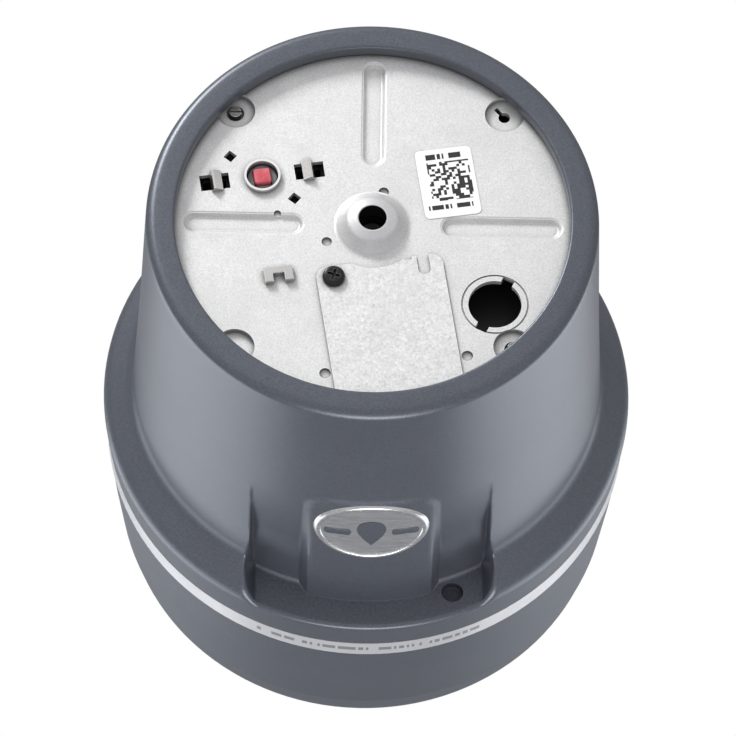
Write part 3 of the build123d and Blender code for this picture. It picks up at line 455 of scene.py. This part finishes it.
FINISHES = {
    "metallic_paint": metallic_paint,
    "band": band,
    "badge_metal": badge_metal,
    "zinc_sheet": lambda: zinc("zinc_sheet", (0.84, 0.84, 0.835), (0.60, 0.60, 0.595), 0.0006, 0.0),
    "zinc_cover": lambda: zinc("zinc_cover", (0.88, 0.88, 0.87), (0.58, 0.58, 0.575), 0.0011, 5.0),
    "clip_steel": lambda: metal("clip_steel", (0.78, 0.77, 0.75), (0.55, 0.54, 0.52), 0.28, 0.0008,
                                worn=(0.9, 0.9, 0.9)),
    "black_screw": lambda: metal("black_screw", (0.030, 0.030, 0.032), (0.012, 0.012, 0.013), 0.34, 0.0006,
                                 worn=(0.16, 0.16, 0.16), metallic=0.6),
    "label": label,
    "bolt_steel": lambda: metal("bolt_steel", (0.40, 0.39, 0.37), (0.20, 0.195, 0.185), 0.36, 0.0008,
                                worn=(0.85, 0.85, 0.84)),
    "button_red": button_red,
    # guide_plastic: full painted shade in its corners.
    "guide_plastic": lambda: moulded("guide_plastic", (0.52, 0.50, 0.48), (0.36, 0.34, 0.33), 0.45,
                                     crevice_shade=1.0),
    "spring_steel": lambda: metal("spring_steel", (0.62, 0.62, 0.62), (0.40, 0.40, 0.40), 0.30, 0.0006),
    "black_plastic": lambda: moulded("black_plastic", (0.018, 0.018, 0.019), (0.010, 0.010, 0.011), 0.5),
    "black_steel": lambda: metal("black_steel", (0.016, 0.016, 0.017), (0.008, 0.008, 0.009), 0.5, 0.0010,
                                 metallic=0.2),
    "ground_green": lambda: metal("ground_green", (0.05, 0.30, 0.11), (0.03, 0.18, 0.07), 0.36, 0.0007,
                                  worn=(0.3, 0.5, 0.35), metallic=0.6),
    "wire": lambda: moulded("wire", (0.030, 0.030, 0.032), (0.015, 0.015, 0.016), 0.42),
    "can_steel": lambda: metal("can_steel", (0.56, 0.56, 0.57), (0.40, 0.40, 0.41), 0.36, 0.0012,
                               stretch=(1, 1, 0.15)),
    "lamination": lambda: metal("lamination", (0.30, 0.29, 0.29), (0.16, 0.15, 0.15), 0.45, 0.0005,
                                stretch=(0.05, 0.05, 1.0)),
    "copper": lambda: metal("copper", (0.72, 0.32, 0.15), (0.42, 0.16, 0.07), 0.34, 0.0009,
                            stretch=(0.1, 0.1, 1.0)),
    "cast_aluminium": lambda: metal("cast_aluminium", (0.60, 0.60, 0.61), (0.42, 0.42, 0.43), 0.5, 0.0011,
                                    worn=(0.78, 0.78, 0.78)),
    "shaft_steel": lambda: metal("shaft_steel", (0.34, 0.34, 0.35), (0.20, 0.20, 0.21), 0.32, 0.0006,
                                 stretch=(1, 1, 0.1)),
    # Painted shade: the bronze is darkened to near black, as shade on the bearing deep in the hub's hole.
    "bronze": lambda: metal("bronze", (0.040, 0.028, 0.017), (0.020, 0.015, 0.010), 0.6, 0.0008),
    "seal_rubber": lambda: moulded("seal_rubber", (0.024, 0.024, 0.025), (0.012, 0.012, 0.013), 0.62),
    "stainless": lambda: metal("stainless", (0.62, 0.62, 0.62), (0.48, 0.48, 0.49), 0.24, 0.0009,
                               stretch=(0.12, 0.12, 1.0), worn=(0.8, 0.8, 0.8)),
    "foam": lambda: moulded("foam", (0.20, 0.20, 0.21), (0.11, 0.11, 0.12), 0.92, 0.0016, 0.0003),
    "sink_stainless": lambda: metal("sink_stainless", (0.72, 0.72, 0.72), (0.60, 0.60, 0.61), 0.16, 0.0009,
                                    stretch=(0.1, 0.1, 1.0)),
    "mount_steel": lambda: metal("mount_steel", (0.62, 0.61, 0.58), (0.44, 0.43, 0.40), 0.36, 0.0010,
                                 worn=(0.82, 0.82, 0.80)),
    "fiber": lambda: moulded("fiber", (0.20, 0.16, 0.12), (0.12, 0.09, 0.06), 0.85, 0.0012, 0.0001),
}
made_finishes = {}


def finish_of(slot):
    """The slot's material, made the first time that it is asked for."""
    if slot not in made_finishes:
        made_finishes[slot] = FINISHES[slot]().material
    return made_finishes[slot]


def paint_cad_nodes():
    slots = {part["node"]: part["material_slot"] for part in frame["record"]["subparts"]}
    for name, node in frame["nodes"].items():
        node.data.materials.clear()
        node.data.materials.append(finish_of(slots[name]))


# ---------------------------------------------------------------- shape helpers (millimetres)
ARC_STEPS = 7                    # points along each rounded corner of an outline
AROUND = 48                      # points round a small circle
SHARP_ANGLE = 30.0               # degrees: sharper edges than this stay creased


def smooth(value):
    """Goes from 0 to 1 with level ends."""
    value = np.clip(value, 0.0, 1.0)
    return value * value * (3.0 - 2.0 * value)


def corner_arc(before, corner, after, radius):
    """Points along a rounding of that radius at one corner of an outline."""
    if radius == 0:
        return [corner]
    to_before = (before - corner) / np.linalg.norm(before - corner)
    to_after = (after - corner) / np.linalg.norm(after - corner)
    half = np.arccos(np.clip(np.dot(to_before, to_after), -1, 1)) / 2.0
    middle = (to_before + to_after) / np.linalg.norm(to_before + to_after)
    centre = corner + middle * radius / sin(half)
    start = corner + to_before * radius / tan(half) - centre
    end = corner + to_after * radius / tan(half) - centre
    mixes = [start + (end - start) * step / (ARC_STEPS - 1) for step in range(ARC_STEPS)]
    return [centre + mix * radius / np.linalg.norm(mix) for mix in mixes]


def outline(corners, runs):
    """A closed outline of (r, z, rounding) corners, with each straight run cut into equal parts."""
    places = [np.array(corner[:2], dtype=float) for corner in corners]
    count = len(places)
    arcs = []
    for index, corner in enumerate(corners):
        before, after = places[index - 1], places[(index + 1) % count]
        arcs.append(corner_arc(before, places[index], after, corner[2]))
    path = []
    for index, run in enumerate(runs):
        start, end = arcs[index][-1], arcs[(index + 1) % count][0]
        path.extend(arcs[index])
        path.extend(start + (end - start) * step / run for step in range(1, run))
    return np.array(path)


def closed_mesh(name, points, faces):
    """A mesh from points in millimetres, with doubled points joined and its faces turned outwards."""
    mesh = bpy.data.meshes.new(name)
    mesh.from_pydata([tuple(MM * value for value in point) for point in points], [], faces)
    shape = bmesh.new()
    shape.from_mesh(mesh)
    bmesh.ops.remove_doubles(shape, verts=shape.verts, dist=1e-6)
    bmesh.ops.recalc_face_normals(shape, faces=shape.faces)
    shape.to_mesh(mesh)
    shape.free()
    return mesh


def mesh_object(name, points, faces, slot, smooth_angle=SHARP_ANGLE):
    """A smooth-shaded mesh object."""
    mesh = closed_mesh(name, points, faces)
    mesh.polygons.foreach_set("use_smooth", [True] * len(mesh.polygons))
    mesh.set_sharp_from_angle(angle=radians(smooth_angle))
    thing = bpy.data.objects.new(name, mesh)
    bpy.context.scene.collection.objects.link(thing)
    mesh.materials.append(finish_of(slot))
    return thing


def ring_faces(rings, around):
    """Faces between closed rings of points, each ring with the same number of points."""
    faces = []
    for i in range(rings - 1):
        for j in range(around):
            after = (j + 1) % around
            lower, upper = i * around, (i + 1) * around
            faces.append((lower + j, lower + after, upper + after, upper + j))
    return faces


def circle(centre, radius, count):
    """Points round a circle, in two dimensions."""
    turns = [2 * pi * step / count for step in range(count)]
    return [(centre[0] + radius * cos(turn), centre[1] + radius * sin(turn)) for turn in turns]


def place_piece(thing, body, slot, *replaced):
    """Puts a piece on a body and hides the CAD nodes that it stands for; the slot is not used."""
    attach(thing, body)
    if replaced:
        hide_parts(*replaced)


def cut(thing, points, faces):
    """Cuts a closed tool shape out of an object and applies the result."""
    mesh = closed_mesh("tool", points, faces)
    tool = bpy.data.objects.new("tool", mesh)
    bpy.context.scene.collection.objects.link(tool)
    modifier = thing.modifiers.new("cut", "BOOLEAN")
    modifier.object = tool
    modifier.operation = "DIFFERENCE"
    modifier.solver = "EXACT"
    bpy.context.view_layer.update()
    seen = thing.evaluated_get(bpy.context.evaluated_depsgraph_get())
    result = bpy.data.meshes.new_from_object(seen)
    thing.modifiers.remove(modifier)
    old = thing.data
    thing.data = result
    bpy.data.meshes.remove(old)
    bpy.data.objects.remove(tool)
    bpy.data.meshes.remove(mesh)
    result.set_sharp_from_angle(angle=radians(SHARP_ANGLE))


def prism(loop, low, high, turn):
    """A closed prism: a 2-D loop moved from low to high, turned into 3-D by a function."""
    count = len(loop)
    points = [turn(a, b, low) for a, b in loop] + [turn(a, b, high) for a, b in loop]
    faces = [tuple(range(count)), tuple(range(2 * count - 1, count - 1, -1))]
    for index in range(count):
        after = (index + 1) % count
        faces.append((index, index + count, after + count, after))
    return points, faces


# ---------------------------------------------------------------- lower shell
POCKET_HALF = 50.5               # half widths of the pocket and of the pad in it
PAD_HALF = 29.0
PAD_LOW_Z = 69.0
PAD_TOP_Z = 150.0
PAD_CORNER = 12.0
PAD_R = 98.3                     # of the pad's face at its lower edge
WALL_R = 97.45                   # of the plain wall at the same height
POCKET_BACK_R = 95.6
PAD_LEAN = 30.0                  # height in which the pad's face moves out by 1 mm
WALL_LEAN = 19.0                 # the same for the plain wall
FLARE_START_Z = 120.0            # above here the pocket's sides grow rounder
LEDGE_HOLE = (-35.8, -96.6)
LEDGE_HOLE_R = 4.7
OUTLET_Z = 140.0
OUTLET_SIZE = (92.0, 48.0)

# Each outline is a list of (radius, z, rounding) corners. Both have the same kinds of corner in the
# same order, so that one can turn into the other point by point.
PLAIN_SHELL = [
    (82.5, 5.8, 0), (82.5, 0, 1.2), (94.4, 0, 4), (97.45, 69, 0), (97.75, 76, 0), (99.5, 108, 0),
    (101.2, 139.5, 11), (114.6, 150.5, 9), (112.9, 171.7, 0.6), (109.4, 171.7, 0), (109.4, 186, 0.4),
    (106.5, 186, 0.4), (106.5, 167, 0), (110.4, 160.5, 0), (111.3, 152, 0), (98.2, 141, 0), (96.4, 108, 0),
    (94.7, 76, 0), (94.4, 69, 0), (91.2, 5.8, 0)]
POCKET_SHELL = [
    (82.5, 5.8, 0), (82.5, 0, 1.2), (94.4, 0, 4), (97.45, 69, 0), (97.7, 75.0, 0), (95.7, 108, 0),
    (95.6, 155, 2), (114.1, 155, 2), (112.9, 171.7, 0.6), (109.4, 171.7, 0), (109.4, 186, 0.4),
    (106.5, 186, 0.4), (106.5, 167, 0), (106.5, 158.2, 0), (103.0, 158, 0), (92.6, 158, 0), (92.6, 108, 0),
    (94.5, 75, 0), (94.4, 69, 0), (91.2, 5.8, 0)]
SHELL_RUNS = [2, 3, 16, 8, 16, 20, 12, 10, 2, 3, 2, 4, 2, 2, 4, 8, 6, 2, 12, 4]
OUTER_COUNT = 113                # points from the outline's start that are on its outer face
FRONT_REACH = 60.0               # within this of the middle, the columns are flat slices across X

# Spacing of the slices from the middle outwards: (from, to, step).
SLICE_STEPS = [(0.0, 26.5, 1.5), (26.5, 33.0, 0.5), (33.0, 42.0, 1.5), (42.0, 55.0, 0.5), (55.0, 60.0, 1.5)]
BACK_COLUMNS = 130
STRIP_WIDTH = 3.4                # of the sloping strip at the sides of the pad


def shell_columns():
    """X of each flat slice across the front: closer together at the sides of the pocket and pad."""
    runs = [np.arange(low, high - 0.01, step) for low, high, step in SLICE_STEPS]
    half = np.concatenate(runs + [[FRONT_REACH]])
    return np.concatenate([-half[:0:-1], half])


def pad_radius(z):
    """Radius of the pad's face, which leans out slightly as it rises."""
    return PAD_R + (z - PAD_LOW_Z) / PAD_LEAN


def pad_share(x, z):
    """1 on the raised pad, 0 off it, with a sloping side strip between."""
    half = PAD_HALF + 1.0 * smooth((z - PAD_LOW_Z) / 80.0)
    across = np.abs(x) - (half - PAD_CORNER)
    down = (PAD_LOW_Z + PAD_CORNER) - z
    outside = np.hypot(np.maximum(across, 0), np.maximum(down, 0))
    distance = np.where(down > 0, outside, np.maximum(across, 0)) - PAD_CORNER
    return np.clip(-distance / STRIP_WIDTH, 0.0, 1.0)


def sink_back(pocket):
    """Lets the pocket's back wall leave the plain wall gradually, with no crease across it."""
    z = pocket[:, 1]
    wall = WALL_R + (z - PAD_LOW_Z) / WALL_LEAN
    back = wall + (POCKET_BACK_R - wall) * smooth((z - 72.0) / 52.0)
    on_wall = (np.arange(len(pocket)) < OUTER_COUNT) & (z > PAD_LOW_Z) & (z < LEDGE_Z - 3.0)
    pocket[:, 0] = np.where(on_wall, back, pocket[:, 0])
    return pocket


def shell_section(x, plain, pocket):
    """The wall's outline at one slice across the front."""
    rise = smooth((plain[:, 1] - FLARE_START_Z) / (LEDGE_Z - FLARE_START_Z))
    outer = np.arange(len(plain)) < OUTER_COUNT
    soft = np.where(outer, 0.7 + 3.4 * rise, 1.0)
    half = np.where(outer, POCKET_HALF + 0.6 * rise, POCKET_HALF + 3.0)
    share = smooth(0.5 + (half - abs(x)) / (2.0 * soft))[:, None]
    section = plain * (1 - share) + pocket * share
    radius, z = section[:, 0], section[:, 1]
    raised = np.maximum(radius, pad_radius(np.minimum(z, PAD_TOP_Z)))
    on_pad = outer & (z < LEDGE_Z + 0.5) & (z > PAD_LOW_Z - 1)
    section[:, 0] = np.where(on_pad, radius + (raised - radius) * pad_share(x, z), radius)
    return section


def build_lower_shell():
    """The shell from columns all the way round, with the outlet's opening and the ledge's hole cut out."""
    plain = outline(PLAIN_SHELL, SHELL_RUNS)
    pocket = sink_back(outline(POCKET_SHELL, SHELL_RUNS))
    columns = []
    for x in shell_columns():
        section = shell_section(x, plain, pocket)
        columns.append([(x, -np.sqrt(r * r - x * x), z) for r, z in section])
    for step in range(1, BACK_COLUMNS):
        column = []
        for r, z in plain:
            first = asin(FRONT_REACH / r)
            angle = first + (2 * pi - 2 * first) * step / BACK_COLUMNS
            column.append((r * sin(angle), -r * cos(angle), z))
        columns.append(column)
    height, width = len(plain), len(columns)
    points = [point for column in columns for point in column]
    faces = []
    for i in range(width):
        after = (i + 1) % width
        for j in range(height):
            above = (j + 1) % height
            faces.append((i * height + j, after * height + j, after * height + above, i * height + above))
    shell = mesh_object("lower_trim_shell_skin", points, faces, "metallic_paint")
    half_width, half_height = OUTLET_SIZE[0] / 2, OUTLET_SIZE[1] / 2
    port = [(half_width * a, OUTLET_Z + half_height * b) for a, b in rounded_rectangle(0.26, 0.5)]
    cut(shell, *prism(port, 60.0, 140.0, lambda a, b, c: (a, c, b)))
    ring = circle(LEDGE_HOLE, LEDGE_HOLE_R, AROUND)
    cut(shell, *prism(ring, LEDGE_Z - 5.0, LEDGE_Z + 4.5, lambda a, b, c: (a, b, c)))
    place_piece(shell, "housing", "metallic_paint", "lower_trim_shell")


def build_ledge_boss():
    """The blind boss behind the hole in the ledge."""
    profile = [
        (0.0, 160.0), (4.3, 160.0), (LEDGE_HOLE_R, 159.6), (LEDGE_HOLE_R, 157.9), (6.9, 157.9), (6.9, 162.0),
        (0.0, 162.0)]
    points = [(x, y, z) for r, z in profile for x, y in circle(LEDGE_HOLE, r, AROUND)]
    boss = mesh_object("ledge_boss", points, ring_faces(len(profile), AROUND), "metallic_paint")
    place_piece(boss, "housing", "metallic_paint")


def rounded_rectangle(round_x, round_z, steps=8):
    """Outline of a square from -1 to 1 with rounded corners."""
    loop = []
    for quarter in range(4):
        for step in range(steps + 1):
            angle = pi / 2 * (quarter + step / steps)
            side_x = 1 if quarter in (0, 3) else -1
            side_z = 1 if quarter in (0, 1) else -1
            x = side_x * (1 - round_x) + round_x * cos(angle)
            z = side_z * (1 - round_z) + round_z * sin(angle)
            loop.append((x, z))
    return loop


# ---------------------------------------------------------------- badge
BADGE_Z = 93.4
BADGE_HALF_WIDTH = 24.5
BADGE_HALF_HEIGHT = 21.75
BADGE_AROUND = 128               # points round each ring of the badge
EMBLEM_LOW = 0.42                # the emblem's foot and face, above the pad
EMBLEM_HIGH = 0.80
DROP_SIZE = (8.4, 9.8)           # half width before it narrows, and half height
BAR_SIZE = (5.8, 2.1)            # half width and half height
BAR_OFFSET = 14.4

# Rings from the badge's middle to its edge: (share of its size, height above the pad).
BADGE_RIM = [
    (0.00, 0.50), (0.20, 0.50), (0.40, 0.50), (0.60, 0.50), (0.74, 0.50), (0.84, 0.52), (0.872, 0.55),
    (0.885, 0.95), (0.900, 1.15), (0.925, 1.25), (0.950, 1.18), (0.972, 0.95), (0.988, 0.60),
    (0.995, 0.25), (1.000, 0.00)]


def on_pad_face(x, z, proud):
    """A point over the pad's curved face, proud of it by that much."""
    radius = pad_radius(z) + proud
    return (x, -np.sqrt(radius * radius - x * x), z)


def build_badge():
    """A dished oval plate with a raised rim."""
    points = []
    for share, proud in BADGE_RIM:
        for a, b in circle((0, 0), share, BADGE_AROUND):
            points.append(on_pad_face(BADGE_HALF_WIDTH * a, BADGE_Z + BADGE_HALF_HEIGHT * b, proud))
    faces = ring_faces(len(BADGE_RIM), BADGE_AROUND)
    edge = (len(BADGE_RIM) - 1) * BADGE_AROUND
    faces.append(tuple(range(edge, edge + BADGE_AROUND)))
    plate = mesh_object("badge_plate", points, faces, "badge_metal")
    place_piece(plate, "housing", "badge_metal", "badge")


def raised_shape(name, loop):
    """A low raised shape on the badge's face, from a loop of (x, z)."""
    count = len(loop)
    middle = np.mean(np.array(loop), axis=0)
    points = []
    for grow, proud in ((1.0, EMBLEM_LOW), (1.0, EMBLEM_HIGH - 0.08), (0.94, EMBLEM_HIGH)):
        for place in loop:
            x, z = middle + grow * (np.array(place) - middle)
            points.append(on_pad_face(x, z, proud))
    faces = [tuple(range(count)), tuple(range(3 * count - 1, 2 * count - 1, -1))]
    faces.extend(ring_faces(3, count))
    place_piece(mesh_object(name, points, faces, "metallic_paint"), "housing", "metallic_paint")


def build_emblem():
    """A drop between two plain bars."""
    turns = [2 * pi * step / AROUND for step in range(AROUND)]
    wide, high = DROP_SIZE
    drop = [(wide * sin(a) * abs(sin(a / 2)) ** 1.2, BADGE_Z + 1.0 + high * cos(a)) for a in turns]
    raised_shape("badge_drop", drop)
    wide, high = BAR_SIZE
    for side in (-1, 1):
        bar = [(side * (BAR_OFFSET + wide * a), BADGE_Z + 0.5 + high * b)
               for a, b in rounded_rectangle(0.25, 0.9, 5)]
        raised_shape("badge_bar_left" if side > 0 else "badge_bar_right", bar)


# ---------------------------------------------------------------- button spring
SPRING_WIRE_R = 0.4
SPRING_TURNS = 3
SPRING_STEPS = 36                # points along each turn
WIRE_AROUND = 10                 # points round the wire


def build_button_spring():
    """The button's coil spring, built at its full length; nothing here shortens it."""
    low, high = (np.array(corner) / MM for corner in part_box("button_spring"))
    middle = (low + high) / 2
    coil = (high[0] - low[0]) / 2 - SPRING_WIRE_R
    steps = SPRING_STEPS * SPRING_TURNS
    rise = high[2] - low[2] - 2 * SPRING_WIRE_R
    points = []
    for step in range(steps + 1):
        turn = 2 * pi * SPRING_TURNS * step / steps
        height = low[2] + SPRING_WIRE_R + rise * step / steps
        for reach, z in circle((coil, height), SPRING_WIRE_R, WIRE_AROUND):
            points.append((middle[0] + reach * cos(turn), middle[1] + reach * sin(turn), z))
    last = steps * WIRE_AROUND
    faces = [tuple(range(WIRE_AROUND)), tuple(reversed(range(last, last + WIRE_AROUND)))]
    faces.extend(ring_faces(steps + 1, WIRE_AROUND))
    spring = mesh_object("button_coil", points, faces, "spring_steel", 50.0)
    place_piece(spring, "housing", "spring_steel", "button_spring")
    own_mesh(spring)


# ---------------------------------------------------------------- put together
bpy.context.scene.view_settings.view_transform = "Standard"
make_camera()
make_world()
make_lights()
make_floor()
paint_cad_nodes()
build_lower_shell()
build_ledge_boss()
build_badge()
build_emblem()
build_button_spring()
